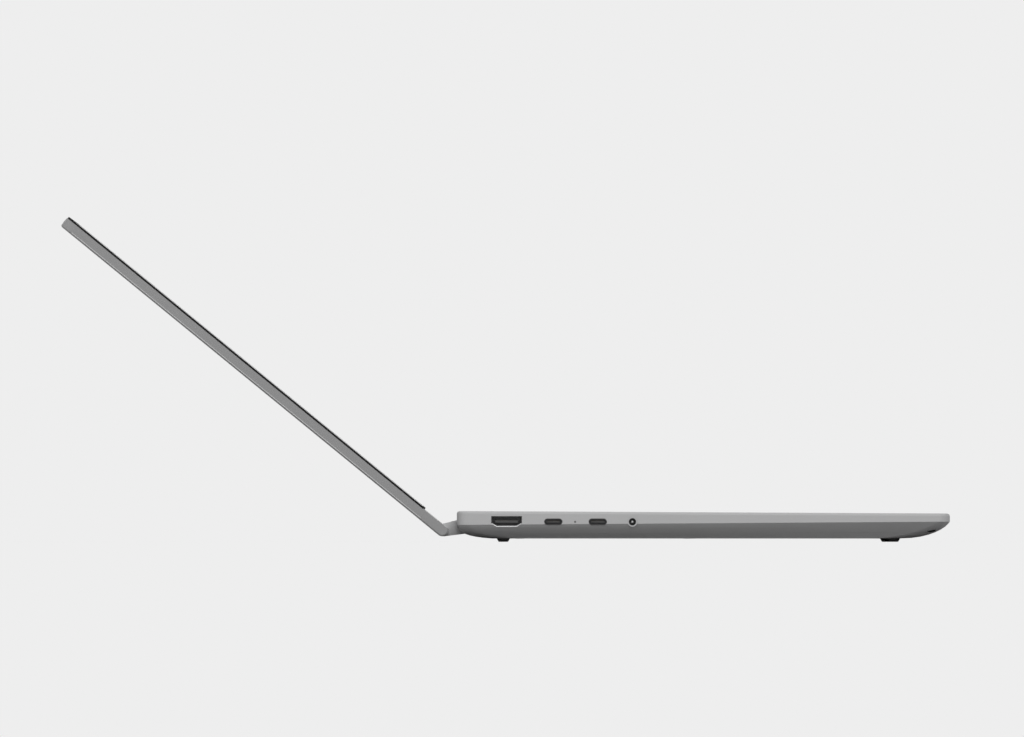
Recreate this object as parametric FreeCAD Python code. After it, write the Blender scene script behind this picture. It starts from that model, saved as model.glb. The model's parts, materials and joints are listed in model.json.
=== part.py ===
import FreeCAD, Part
import math
import os

# Fold-around laptop computer with a 16 inch screen, standing open at about 141 degrees.
# X runs across the width (the user's left is -X), the front edge faces -Y, +Z is up.
# The origin is under the middle of the whole open computer, on the table. Millimetres.

# Driving dimensions of the base
BASE_WIDTH = 356.0
BASE_FRONT = -218.8
BASE_REAR = 23.0
BASE_DEPTH = BASE_REAR - BASE_FRONT
FOOT_HEIGHT = 1.65
DECK_FRONT_Z = 13.9
DECK_REAR_Z = 15.1
PLAN_RADIUS = 6.0
TOP_EDGE_ROUND = 1.2
WALL = 1.3
SEAM_AT = 0.5
SEAM_GAP = 0.002
UNDERCUT_STEPS = 4

# Undercut below the side walls, as Bezier control values from the wall's lower edge to the flat bottom
SIDE_INSET = (0.0, 3.5, 9.9, 9.9)
FRONT_INSET = (0.0, 1.5, 9.0, 24.0)
REAR_INSET = (0.0, 0.4, 5.0, 17.0)
FRONT_HEIGHT = (9.9, 7.0, FOOT_HEIGHT, FOOT_HEIGHT)
REAR_HEIGHT = (8.3, 4.5, 2.4, FOOT_HEIGHT)
BOTTOM_PLAN_RADIUS = 16.0

# Driving dimensions of the lid and of the double hinge
LID_THICKNESS = 6.1
LID_REACH = 239.3
LID_OPEN = 50.73
CLOSED_GAP = 0.9
FOLDED_GAP = 0.4
ARM_TURN = 100.46
ARM_BASE_RADIUS = 3.7
ARM_LID_RADIUS = 3.05
ARM_REAR_INSET = 0.2
ARM_WIDTH = 34.0
ARM_X = 125.0
ARM_CLEARANCE = 0.4
NOTCH_CLEARANCE = 0.35
SHAFT_RADIUS = 1.4
SHAFT_FIT = 0.04
SHAFT_ROOM = 0.2

# Worked out from the driving dimensions
DECK_TILT = math.degrees(math.atan((DECK_REAR_Z - DECK_FRONT_Z) / BASE_DEPTH))
HALF_WIDTH = BASE_WIDTH / 2
HALF_LID = LID_THICKNESS / 2
SHAFT_DISTANCE = (DECK_REAR_Z + LID_THICKNESS + CLOSED_GAP + FOLDED_GAP) / 2
BASE_SHAFT_Y = BASE_REAR - ARM_BASE_RADIUS - ARM_REAR_INSET
BASE_SHAFT_Z = SHAFT_DISTANCE - HALF_LID - FOLDED_GAP
LID_SHAFT_Y = BASE_SHAFT_Y + SHAFT_DISTANCE * math.sin(math.radians(ARM_TURN))
LID_SHAFT_Z = BASE_SHAFT_Z + SHAFT_DISTANCE * math.cos(math.radians(ARM_TURN))
NOTCH_HALF = ARM_WIDTH / 2 + ARM_CLEARANCE
SIDES = (("left", -1), ("right", 1))

X_AXIS = FreeCAD.Vector(1, 0, 0)
Z_AXIS = FreeCAD.Vector(0, 0, 1)

os.makedirs("parts", exist_ok=True)


def vec(x, y, z):
    return FreeCAD.Vector(x, y, z)


def save(node, shape):
    """Write one piece, or one group of like pieces, under its own name."""
    shape.exportStep("parts/" + node + ".step")
    print(node, "solids", len(shape.Solids), "volume", round(shape.Volume, 1), "valid", shape.isValid())


def block(x0, x1, y0, y1, z0, z1):
    """A plain block between two corners."""
    return Part.makeBox(x1 - x0, y1 - y0, z1 - z0, vec(x0, y0, z0))


def rounded_wire(x0, x1, y0, y1, radius):
    """A closed rectangle with round corners, flat on z = 0."""
    edges = []
    corners = ((x1, y1, 0), (x0, y1, 90), (x0, y0, 180), (x1, y0, 270))
    ends = []
    for x, y, start in corners:
        cx = x - radius if x == x1 else x0 + radius
        cy = y - radius if y == y1 else y0 + radius
        arc = Part.ArcOfCircle(Part.Circle(vec(cx, cy, 0), Z_AXIS, radius),
                               math.radians(start), math.radians(start + 90))
        ends.append(arc.toShape())
    for index, arc in enumerate(ends):
        following = ends[(index + 1) % 4]
        edges.append(arc)
        edges.append(Part.LineSegment(arc.valueAt(arc.LastParameter),
                                      following.valueAt(following.FirstParameter)).toShape())
    return Part.Wire(edges)


def cut_wire(x0, x1, y0, y1, corner):
    """A closed rectangle with its corners cut off, flat on z = 0."""
    return polygon(((x1, y1 - corner), (x1 - corner, y1), (x0 + corner, y1), (x0, y1 - corner),
                    (x0, y0 + corner), (x0 + corner, y0), (x1 - corner, y0), (x1, y0 + corner)))


def rounded_block(x0, x1, y0, y1, z0, z1, radius):
    """A block whose upright edges are round."""
    face = Part.Face(rounded_wire(x0, x1, y0, y1, radius))
    face.translate(vec(0, 0, z0))
    return face.extrude(vec(0, 0, z1 - z0))


def rod(x0, x1, y, z, radius):
    """A round bar along X."""
    return Part.makeCylinder(radius, x1 - x0, vec(x0, y, z), X_AXIS)


def pillar(x, y, z0, z1, radius):
    """A round post along Z."""
    return Part.makeCylinder(radius, z1 - z0, vec(x, y, z0), Z_AXIS)


def bezier(values, t):
    """One coordinate of a cubic Bezier curve."""
    a, b, c, d = values
    s = 1 - t
    return a * s**3 + 3 * b * s * s * t + 3 * c * s * t * t + d * t**3


def deck_height(y):
    """Height of the deck's surface above the table."""
    return DECK_FRONT_Z + (y - BASE_FRONT) * (DECK_REAR_Z - DECK_FRONT_Z) / BASE_DEPTH


def on_deck(shape):
    """Place a shape drawn on a level deck (z = 0 on its surface, y as on the table) onto the sloping deck."""
    placed = shape.copy()
    placed.rotate(vec(0, BASE_FRONT, 0), X_AXIS, DECK_TILT)
    placed.translate(vec(0, 0, DECK_FRONT_Z))
    return placed


def on_lid(shape):
    """Place a shape drawn on a level lid (y from the lid shaft to the tip, +z on the screen side)."""
    placed = shape.copy()
    placed.rotate(vec(0, 0, 0), X_AXIS, 90 - LID_OPEN)
    placed.translate(vec(0, LID_SHAFT_Y, LID_SHAFT_Z))
    return placed


def on_arm(shape):
    """Place a shape drawn on an upright arm (base shaft at the origin, lid shaft above it)."""
    placed = shape.copy()
    placed.rotate(vec(0, 0, 0), X_AXIS, -ARM_TURN)
    placed.translate(vec(0, BASE_SHAFT_Y, BASE_SHAFT_Z))
    return placed


def undercut_section(t, wall):
    """Outline of the lower housing at one step of the undercut; inside, it is plainer by its cut corners."""
    front_y = BASE_FRONT + bezier(FRONT_INSET, t) + wall
    rear_y = BASE_REAR - bezier(REAR_INSET, t) - wall
    front_z = bezier(FRONT_HEIGHT, t) + wall * t
    rear_z = bezier(REAR_HEIGHT, t) + wall * t
    half = HALF_WIDTH - bezier(SIDE_INSET, t) - wall
    radius = PLAN_RADIUS + (BOTTOM_PLAN_RADIUS - PLAN_RADIUS) * t - wall * (1 - t)
    draw = cut_wire if wall else rounded_wire
    wire = draw(-half, half, 0, math.hypot(rear_y - front_y, rear_z - front_z), radius)
    wire.rotate(vec(0, 0, 0), X_AXIS, math.degrees(math.atan2(rear_z - front_z, rear_y - front_y)))
    wire.translate(vec(0, front_y, front_z))
    return wire


def undercut_wires(t0, t1):
    """Outlines of the outer housing at even steps of the undercut."""
    return [undercut_section(t0 + (t1 - t0) * step / UNDERCUT_STEPS, 0) for step in range(UNDERCUT_STEPS + 1)]


def deck_outline(inset, drop, draw=rounded_wire):
    """Outline of the deck's edge, drawn in by an inset and lowered by a drop."""
    reach = BASE_FRONT + math.hypot(BASE_DEPTH, DECK_REAR_Z - DECK_FRONT_Z)
    half = HALF_WIDTH - inset
    wire = draw(-half, half, BASE_FRONT + inset, reach - inset, PLAN_RADIUS - inset)
    wire.translate(vec(0, 0, -drop))
    return on_deck(wire)


def upper_housing():
    """Outer form of the top case: soft deck edge, upright walls and upper half of the undercut."""
    soft = TOP_EDGE_ROUND * (1 - math.sqrt(0.5))
    wires = [deck_outline(TOP_EDGE_ROUND, 0), deck_outline(soft, soft), deck_outline(0, TOP_EDGE_ROUND)]
    return Part.makeLoft(wires + undercut_wires(0, SEAM_AT), True, True)


def lower_housing():
    """Outer form of the bottom cover, from just below the seam to the flat bottom."""
    return Part.makeLoft(undercut_wires(SEAM_AT + SEAM_GAP, 1), True, True)


def hinge_notches(margin):
    """Gaps in the rear edge in which the two hinge arms swing."""
    inner = BASE_SHAFT_Y - ARM_BASE_RADIUS - NOTCH_CLEARANCE - margin
    half = NOTCH_HALF + margin
    return [block(side * ARM_X - half, side * ARM_X + half, inner, BASE_REAR + ARM_WIDTH, -DECK_REAR_Z,
                  2 * DECK_REAR_Z) for _, side in SIDES]


def base_hollow():
    """Room inside the base, which leaves walls round the hinge notches."""
    wires = [deck_outline(WALL, WALL, cut_wire), undercut_section(0, WALL), undercut_section(1, WALL)]
    room = Part.makeLoft(wires, True, True)
    return room.cut(Part.makeCompound(hinge_notches(WALL)))


def side_prism(wire, x0, x1):
    """Extrude an outline drawn as (y, z) on the flat, along X."""
    solid = Part.Face(wire).extrude(vec(0, 0, x1 - x0))
    solid.rotate(vec(0, 0, 0), vec(1, 1, 1), 120)
    solid.translate(vec(x0, 0, 0))
    return solid


def polygon(points):
    """A closed straight-sided outline on the flat."""
    corners = [vec(a, b, 0) for a, b in points]
    return Part.makePolygon(corners + corners[:1])


def mirrored(shape):
    """The same piece on the other side of the middle."""
    return shape.mirror(vec(0, 0, 0), X_AXIS)


def both_sides(shape):
    """A piece together with its mirror image."""
    return [mirrored(shape), shape]


# Keyboard, drawn on the level deck
KEY_PITCH = 19.0
ROW_PITCH = 18.5
FUNCTION_ROW_PITCH = 11.0
KEY_SPACING = 3.0
KEY_SLACK = 0.4
KEY_TOP = -0.1
KEY_DEPTH = 2.05
KEY_TAPER = 0.35
KEYBOARD_REAR = -12.0
KEYBOARD_UNITS = 15
SPACE_WIDTH = 5.5
ENTER_WIDTH = 2.25
KEY_ROWS = (
    ("function_keys", FUNCTION_ROW_PITCH, [1] * 15),
    ("number_keys", ROW_PITCH, [1] * 13 + [2]),
    ("upper_letter_keys", ROW_PITCH, [1.5] + [1] * 12 + [1.5]),
    ("home_letter_keys", ROW_PITCH, [1.75] + [1] * 11 + [ENTER_WIDTH]),
    ("lower_letter_keys", ROW_PITCH, [2.25] + [1] * 10 + [2.75]),
    ("bottom_row_keys", ROW_PITCH, [1.25, 1, 1, 1.25, SPACE_WIDTH, 1, 1, 1, 1, 1]),
)
ARROW_COLUMN = 8
KEYBOARD_FRONT = KEYBOARD_REAR - sum(row[1] for row in KEY_ROWS)


def key_places():
    """List every key as its group's name and the rectangle of its foot."""
    places = []
    y1 = KEYBOARD_REAR
    for name, pitch, widths in KEY_ROWS:
        y0 = y1 - pitch
        x0 = -KEY_PITCH * KEYBOARD_UNITS / 2
        for column, width in enumerate(widths):
            x1 = x0 + width * KEY_PITCH
            gap = KEY_SPACING / 2
            node = name
            if width == SPACE_WIDTH:
                node = "space_bar"
            if name == "home_letter_keys" and width == ENTER_WIDTH:
                node = "enter_key"
            if name == "bottom_row_keys" and column == ARROW_COLUMN:
                middle = (y0 + y1) / 2
                places.append((node, x0 + gap, x1 - gap, middle + KEY_SLACK, y1 - gap))
                places.append((node, x0 + gap, x1 - gap, y0 + gap, middle - KEY_SLACK))
            else:
                places.append((node, x0 + gap, x1 - gap, y0 + gap, y1 - gap))
            x0 = x1
        y1 = y0
    return places


def keycap(x0, x1, y0, y1):
    """A key that narrows a little towards its top."""
    foot = polygon(((x0, y0), (x1, y0), (x1, y1), (x0, y1)))
    foot.translate(vec(0, 0, -KEY_DEPTH))
    t = KEY_TAPER
    top = polygon(((x0 + t, y0 + t), (x1 - t, y0 + t), (x1 - t, y1 - t), (x0 + t, y1 - t)))
    top.translate(vec(0, 0, KEY_TOP))
    return Part.makeLoft([foot, top], True, True)


def key_holes():
    """One hole in the deck for each key; the two half-height arrow keys share theirs."""
    holes = []
    for _, x0, x1, y0, y1 in key_places():
        holes.append(block(x0 - KEY_SLACK, x1 + KEY_SLACK, y0 - KEY_SLACK, y1 + KEY_SLACK, -5 * WALL, WALL))
    return holes


PLATE_MARGIN = 4.0
PLATE_SHEET = 0.4
PLATE_TOP = -3.6
PLATE_RIM = 2.0


def keyboard_plate():
    """Pressed steel tray under the keys, with a rim that meets the deck from below."""
    half = KEYBOARD_UNITS * KEY_PITCH / 2 + PLATE_MARGIN
    rear = KEYBOARD_REAR + PLATE_MARGIN
    front = KEYBOARD_FRONT - PLATE_MARGIN
    tray = block(-half, half, front, rear, PLATE_TOP - PLATE_SHEET, -WALL)
    room = block(PLATE_RIM - half, half - PLATE_RIM, front + PLATE_RIM, rear - PLATE_RIM, PLATE_TOP, 0)
    return on_deck(tray.cut(room))


# Touchpad, drawn on the level deck
PAD_HALF = 70.0
PAD_REAR = -127.0
PAD_FRONT = -209.0
PAD_RADIUS = 5.0
PAD_SLACK = 0.35
PAD_TOP = -0.1
PAD_UNDER = -1.6
PAD_PIVOT_Y = PAD_REAR - 3.0
PAD_PIVOT_Z = -2.6
PAD_PIN_RADIUS = 0.8
PAD_PIN_START = 64.0
PAD_PIN_END = 74.0
PAD_NECK = 4.0
BRACKET_TOP = -4.0
BRACKET_SHEET = 0.5
BRACKET_RAIL = 4.0
BRACKET_MARGIN = 2.0


def touchpad():
    """Glass topped pad with a pivot pin on a short neck at each end of its rear edge."""
    pad = rounded_block(-PAD_HALF, PAD_HALF, PAD_FRONT, PAD_REAR, PAD_UNDER, PAD_TOP, PAD_RADIUS)
    pin = rod(PAD_PIN_START, PAD_PIN_END, PAD_PIVOT_Y, PAD_PIVOT_Z, PAD_PIN_RADIUS)
    neck = block(PAD_PIN_START, PAD_PIN_START + PAD_NECK, PAD_PIVOT_Y - PAD_PIN_RADIUS,
                 PAD_PIVOT_Y + PAD_PIN_RADIUS, PAD_PIVOT_Z, PAD_UNDER)
    return on_deck(pad.fuse(both_sides(neck.fuse(pin))))


def touchpad_bracket():
    """Sheet channel that hangs from the deck and holds the pad's pins in its two rails."""
    inner = PAD_HALF + BRACKET_MARGIN
    front = PAD_FRONT - BRACKET_MARGIN
    rear = PAD_REAR + BRACKET_MARGIN
    half = inner + BRACKET_RAIL
    sheet = block(-half, half, front, rear, BRACKET_TOP - BRACKET_SHEET, BRACKET_TOP)
    sheet = sheet.fuse(both_sides(block(inner, half, front, rear, BRACKET_TOP, -WALL)))
    bore = rod(inner - WALL, PAD_PIN_END + SHAFT_ROOM, PAD_PIVOT_Y, PAD_PIVOT_Z, PAD_PIN_RADIUS + SHAFT_FIT)
    return on_deck(sheet.cut(both_sides(bore)))


def pad_opening():
    """Opening in the deck round the touchpad."""
    half = PAD_HALF + PAD_SLACK
    return rounded_block(-half, half, PAD_FRONT - PAD_SLACK, PAD_REAR + PAD_SLACK, -5 * WALL, WALL,
                         PAD_RADIUS + PAD_SLACK)


# Ports in the side walls, drawn as (y, z) about their centres and from the mouth inwards along X
PORT_Z = 9.8
BOARD_TOP = 7.2
PORT_SHEET = 0.35
PORT_SLACK = 0.04
MOUTH_INSET = 0.05
HOLE_REACH = 8.0
SOCKET_BACK = 2.0
TONGUE_START = 0.12
HDMI_Y = -1.4
HDMI_Z = 9.98
HDMI_HALF = 7.5
HDMI_HALF_HEIGHT = 2.58
HDMI_SHOULDER = -0.85
HDMI_FOOT_HALF = 5.0
HDMI_DEPTH = 11.5
HDMI_INSET = 1.2
USB_C_PLACES = (("usb_c_socket_rear", -24.3), ("usb_c_socket_front", -46.1))
USB_C_HALF = 4.47
USB_C_RADIUS = 1.6
USB_C_DEPTH = 9.0
USB_A_PLACES = (("usb_a_socket_rear", -20.0), ("usb_a_socket_front", -42.0))
USB_A_Z = 10.1
USB_A_HALF = 6.55
USB_A_HALF_HEIGHT = 2.85
USB_A_DEPTH = 14.0
CHARGE_LIGHT_Y = -35.0
CHARGE_LIGHT_RADIUS = 0.5
CHARGE_LIGHT_DEPTH = 4.0
JACK_Y = -63.1
JACK_BORE = 1.8
JACK_NOSE = 2.4
JACK_HALF = 3.2
JACK_HIGH = 2.6
JACK_DEPTH = 14.0
BUTTON_Y = -72.0
BUTTON_Z = 11.0
BUTTON_HALF = 6.0
BUTTON_RADIUS = 1.6
BUTTON_PROUD = 0.15
BUTTON_SLACK = 0.3
COLLAR_MARGIN = 1.0
COLLAR_RISE = 0.45
COLLAR_START = WALL + 0.4
COLLAR_END = WALL + 1.2


def pill(half, radius):
    """Outline with half-round ends."""
    return rounded_wire(-half, half, -radius, radius, radius * 0.999)


def rectangle(half, low, high):
    """Plain upright outline."""
    return polygon(((-half, low), (half, low), (half, high), (-half, high)))


def eight_sided(radius):
    """Small outline that is nearly round."""
    turns = [math.radians(45 * index + 22.5) for index in range(8)]
    return polygon([(radius * math.cos(turn), radius * math.sin(turn)) for turn in turns])


def hdmi_outline(inset):
    """Wide socket with sloping lower corners."""
    half = HDMI_HALF - inset
    high = HDMI_HALF_HEIGHT - inset
    foot = HDMI_FOOT_HALF - inset / 2
    return polygon(((-half, high), (-half, HDMI_SHOULDER), (-foot, -high), (foot, -high), (half, HDMI_SHOULDER),
                    (half, high)))


def usb_c_outline(inset):
    """Flat socket with half-round ends."""
    return pill(USB_C_HALF - inset, USB_C_RADIUS - inset)


def usb_a_outline(inset):
    """Rectangular socket."""
    return rectangle(USB_A_HALF - inset, inset - USB_A_HALF_HEIGHT, USB_A_HALF_HEIGHT - inset)


def socket(outline, tongue, depth):
    """Sheet metal mouth of one outline, with a contact tongue inside."""
    shell = side_prism(outline(0), 0, depth)
    shell = shell.cut(side_prism(outline(PORT_SHEET), -depth, depth - SOCKET_BACK))
    return shell.fuse(side_prism(tongue, depth * TONGUE_START, depth - SOCKET_BACK / 2))


def left_port(shape, y, z, inset=MOUTH_INSET):
    """Place a port in the left wall, with its mouth set in a little."""
    placed = shape.copy()
    placed.translate(vec(inset - HALF_WIDTH, y, z))
    return placed


def right_port(shape, y, z):
    """Place a port in the right wall."""
    return mirrored(left_port(shape, y, z))


def hdmi_socket():
    """Video socket with a thick tongue."""
    return socket(hdmi_outline, rectangle(5.6, -0.6, 0.5), HDMI_DEPTH)


def usb_c_socket():
    """Small reversible socket with a thin tongue in the middle."""
    return socket(usb_c_outline, rectangle(3.35, -0.35, 0.35), USB_C_DEPTH)


def usb_a_socket():
    """Large socket with its tongue in the upper half."""
    return socket(usb_a_outline, rectangle(5.6, 0.3, 1.9), USB_A_DEPTH)


def audio_jack():
    """Round 3.5 mm socket with a nose that fills the hole in the wall."""
    body = block(2 * WALL, JACK_DEPTH + WALL, -JACK_HALF, JACK_HALF, -JACK_NOSE, JACK_HIGH)
    body = body.fuse(rod(0, 2 * WALL, 0, 0, JACK_NOSE))
    return body.cut(rod(-WALL, JACK_DEPTH, 0, 0, JACK_BORE))


def charge_light():
    """Thin light pipe that ends flush in the wall."""
    return side_prism(eight_sided(CHARGE_LIGHT_RADIUS), 0, CHARGE_LIGHT_DEPTH)


def power_button():
    """Long button in the right wall, with a collar behind the wall."""
    cap = side_prism(pill(BUTTON_HALF, BUTTON_RADIUS), -BUTTON_PROUD, COLLAR_START)
    rim = BUTTON_RADIUS + COLLAR_RISE
    collar = side_prism(rectangle(BUTTON_HALF + COLLAR_MARGIN, -rim, rim), COLLAR_START, COLLAR_END)
    return right_port(cap.fuse(collar), BUTTON_Y, BUTTON_Z)


def port_hole(outline):
    """A cut through the side wall."""
    return side_prism(outline, -WALL, HOLE_REACH)


def wall_holes():
    """Openings through the side walls for the ports, the light and the button."""
    jack_room = block(2 * WALL - PORT_SLACK, HOLE_REACH, -JACK_HALF - PORT_SLACK, JACK_HALF + PORT_SLACK,
                      -JACK_NOSE - PORT_SLACK, JACK_HIGH + PORT_SLACK)
    button_hole = pill(BUTTON_HALF + BUTTON_SLACK, BUTTON_RADIUS + BUTTON_SLACK)
    holes = [left_port(port_hole(hdmi_outline(-PORT_SLACK)), HDMI_Y, HDMI_Z)]
    holes += [left_port(port_hole(usb_c_outline(-PORT_SLACK)), y, PORT_Z) for _, y in USB_C_PLACES]
    holes += [right_port(port_hole(usb_a_outline(-PORT_SLACK)), y, USB_A_Z) for _, y in USB_A_PLACES]
    holes.append(left_port(rod(-WALL, HOLE_REACH, 0, 0, JACK_NOSE + PORT_SLACK), JACK_Y, PORT_Z))
    holes.append(left_port(jack_room, JACK_Y, PORT_Z))
    light_hole = port_hole(eight_sided(CHARGE_LIGHT_RADIUS + PORT_SLACK))
    holes.append(left_port(light_hole, CHARGE_LIGHT_Y, PORT_Z))
    holes.append(right_port(port_hole(button_hole), BUTTON_Y, BUTTON_Z))
    return holes


# Fastening posts, air slots and feet of the base, and the barrels of both hinge shafts
POSTS = ((156, -8), (-156, -8), (156, -92), (-156, -92), (88, -190), (-88, -190), (0, -1))
POST_HALF = 2.6
BARREL_OUT = ARM_X - NOTCH_HALF - WALL - SHAFT_ROOM
BARREL_IN = BARREL_OUT - 14.0
BARREL_ROOM = 0.1
BASE_BARREL = 2.5
LID_BARREL = 2.15
BASE_LEAF = 21.0
LID_LEAF = 34.0
LEAF_SHEET = 0.9
SHAFT_END = 3.0
COVER_INSIDE = FOOT_HEIGHT + WALL
VENT_FIRST_X = -81
VENT_PITCH = 18
VENT_COUNT = 9
VENT_WIDTH = 14.0
VENT_LOW = 9.5
VENT_HIGH = 12.0
SOUND_SLOT_Y = -209.8
SOUND_SLOT_Z = 5.25
SOUND_SLOT_HALF = 2.1
SOUND_SLOT_HIGH = 0.45
SOUND_SLOT_LEAN = -13
SOUND_SLOT_DEPTH = 20.0


def sound_slot():
    """Slanted slot in the undercut near the front corner of the left side."""
    slot = side_prism(rectangle(SOUND_SLOT_HALF, -SOUND_SLOT_HIGH, SOUND_SLOT_HIGH), -HALF_WIDTH - WALL,
                      SOUND_SLOT_DEPTH - HALF_WIDTH)
    slot.rotate(vec(0, 0, 0), X_AXIS, SOUND_SLOT_LEAN)
    slot.translate(vec(0, SOUND_SLOT_Y, SOUND_SLOT_Z))
    return slot


def rear_vents():
    """Row of air slots in the rear wall between the hinges."""
    places = [VENT_FIRST_X + VENT_PITCH * index for index in range(VENT_COUNT)]
    inner = BASE_REAR - 4 * WALL
    return [block(x, x + VENT_WIDTH, inner, BASE_REAR + WALL, VENT_LOW, VENT_HIGH) for x in places]


def shaft_tunnel():
    """Square room round a right hinge shaft, drawn about the shaft."""
    half = SHAFT_RADIUS + SHAFT_ROOM
    return block(BARREL_IN - SHAFT_END - 1, ARM_X + NOTCH_HALF + SHAFT_END + 1, -half, half, -half, half)


def barrel_rooms(barrel, leaf_start, leaf_end):
    """Rooms for a right barrel and the root of its leaf, drawn about the shaft."""
    x0 = BARREL_IN - SHAFT_ROOM
    x1 = BARREL_OUT + SHAFT_ROOM
    radius = barrel + BARREL_ROOM
    return [rod(x0, x1, 0, 0, radius), block(x0, x1, leaf_start, leaf_end, -radius, 0)]


def top_case():
    """Keyboard deck, side walls and upper half of the undercut, as one hollow shell."""
    shell = upper_housing().cut(base_hollow())
    posts = [block(x - POST_HALF, x + POST_HALF, y - POST_HALF, y + POST_HALF, COVER_INSIDE,
                   deck_height(y) - WALL / 2) for x, y in POSTS]
    shell = shell.fuse(posts)
    hinge_rooms = []
    for room in [shaft_tunnel()] + barrel_rooms(BASE_BARREL, -BASE_LEAF / 2, 0):
        room.translate(vec(0, BASE_SHAFT_Y, BASE_SHAFT_Z))
        hinge_rooms += both_sides(room)
    cuts = hinge_rooms + rear_vents() + both_sides(sound_slot()) + wall_holes()
    cuts += [on_deck(hole) for hole in key_holes() + [pad_opening()]]
    return shell.cut(Part.makeCompound(hinge_notches(0))).cut(cuts)


AIR_SLOT_XS = range(36, 84, 6)
AIR_SLOT_YS = (-50, -26)
AIR_SLOT_WIDTH = 2.8
AIR_SLOT_LENGTH = 21.0


def bottom_cover():
    """Shallow tray below the seam, with air slots under the fan."""
    cuts = hinge_notches(0)
    for x in AIR_SLOT_XS:
        for y in AIR_SLOT_YS:
            cuts.append(block(x, x + AIR_SLOT_WIDTH, y, y + AIR_SLOT_LENGTH, 0, 2 * COVER_INSIDE))
    return lower_housing().cut(base_hollow()).cut(cuts)


REAR_FOOT_Y = 0.2
REAR_FOOT_HALF = 154.0
FRONT_FOOT_Y = -191.4
FRONT_FOOT_INNER = 96.0
FRONT_FOOT_OUTER = 150.0
FOOT_HALF_TOP = 3.25
FOOT_HALF_LOW = 2.3
FOOT_ROUND = 0.6


def foot(y, x0, x1):
    """Rubber strip that narrows towards the table, with round lower edges."""
    section = polygon(((y - FOOT_HALF_TOP, FOOT_HEIGHT), (y - FOOT_HALF_LOW, 0), (y + FOOT_HALF_LOW, 0),
                       (y + FOOT_HALF_TOP, FOOT_HEIGHT)))
    strip = side_prism(section, x0, x1)
    low_edges = [e for e in strip.Edges if e.CenterOfMass.z < FOOT_ROUND / 2 and e.Length > FOOT_ROUND * 10]
    return strip.makeFillet(FOOT_ROUND, low_edges)


def hinge_arm():
    """Right arm: a tapering link with a bore for each of its two shafts."""
    big = ARM_BASE_RADIUS
    small = ARM_LID_RADIUS
    sine = (big - small) / SHAFT_DISTANCE
    cosine = math.sqrt(1 - sine * sine)
    low = vec(big * cosine, big * sine, 0)
    high = vec(small * cosine, SHAFT_DISTANCE + small * sine, 0)
    low_left = vec(-low.x, low.y, 0)
    high_left = vec(-high.x, high.y, 0)
    outline = Part.Wire([Part.LineSegment(low, high).toShape(),
                         Part.Arc(high, vec(0, SHAFT_DISTANCE + small, 0), high_left).toShape(),
                         Part.LineSegment(high_left, low_left).toShape(),
                         Part.Arc(low_left, vec(0, -big, 0), low).toShape()])
    link = side_prism(outline, ARM_X - ARM_WIDTH / 2, ARM_X + ARM_WIDTH / 2)
    for height in (0, SHAFT_DISTANCE):
        link = link.cut(rod(ARM_X - ARM_WIDTH, ARM_X + ARM_WIDTH, 0, height, SHAFT_RADIUS + SHAFT_FIT / 2))
    return link


def shaft(height):
    """Right hinge shaft, from inside its friction barrel to beyond the arm."""
    return rod(BARREL_IN - SHAFT_END, ARM_X + NOTCH_HALF + SHAFT_END, 0, height, SHAFT_RADIUS)


def hinge_bracket(barrel, leaf_start, leaf_end):
    """Friction barrel round a right shaft with a flat leaf, drawn about the shaft."""
    leaf = block(BARREL_IN, BARREL_OUT, leaf_start, leaf_end, -barrel, LEAF_SHEET - barrel)
    solid = rod(BARREL_IN, BARREL_OUT, 0, 0, barrel).fuse(leaf)
    return solid.cut(rod(BARREL_IN - WALL, BARREL_OUT + WALL, 0, 0, SHAFT_RADIUS + SHAFT_FIT))


def base_hinge_bracket():
    """Right bracket in the base, with its leaf towards the front."""
    bracket = hinge_bracket(BASE_BARREL, -BASE_LEAF, 0)
    bracket.translate(vec(0, BASE_SHAFT_Y, BASE_SHAFT_Z))
    return bracket


# Lid, drawn level about its shaft
GLASS_START = 14.0
STRIP_TOP = 2.2
STRIP_SHEET = 1.1
RIM_TOP = 2.05
LID_SKIN = 0.9
BACK_CHAMFER = 0.7
BAR_REACH = LID_REACH + 2.1
BAR_HALF = 58.0
BAR_SLOPE = 5.0
BAR_ROUND = 1.4
GASKET = 1.0
GASKET_INSET = 0.2
GLASS_SLACK = 0.05
GLASS_DROP = 0.1
HOLLOW_START = 4.6
CAMERA_HALF = 20.0
CAMERA_LOW = LID_REACH - 3.3
CAMERA_HIGH = LID_REACH + 0.5
CAMERA_UNDER = -2.0
CAMERA_TOP = 1.2
SHUTTER_SLOT_HALF = 4.8
SHUTTER_SLOT_LOW = LID_REACH + 0.9
SHUTTER_WIDTH = 5.0
SHUTTER_TRAVEL_END = 0.3
SHUTTER_HALF_THICK = 0.8
SHUTTER_PROUD = 0.25
PANEL_HALF = 174.0
PANEL_START = 16.0
PANEL_END = LID_REACH - 3.5
PANEL_UNDER = 0.4


def lid_room():
    """Space inside the lid, open towards the screen."""
    return rounded_block(WALL - HALF_WIDTH, HALF_WIDTH - WALL, HOLLOW_START, LID_REACH - WALL,
                         LID_SKIN - HALF_LID, LID_THICKNESS, PLAN_RADIUS - WALL)


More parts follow.
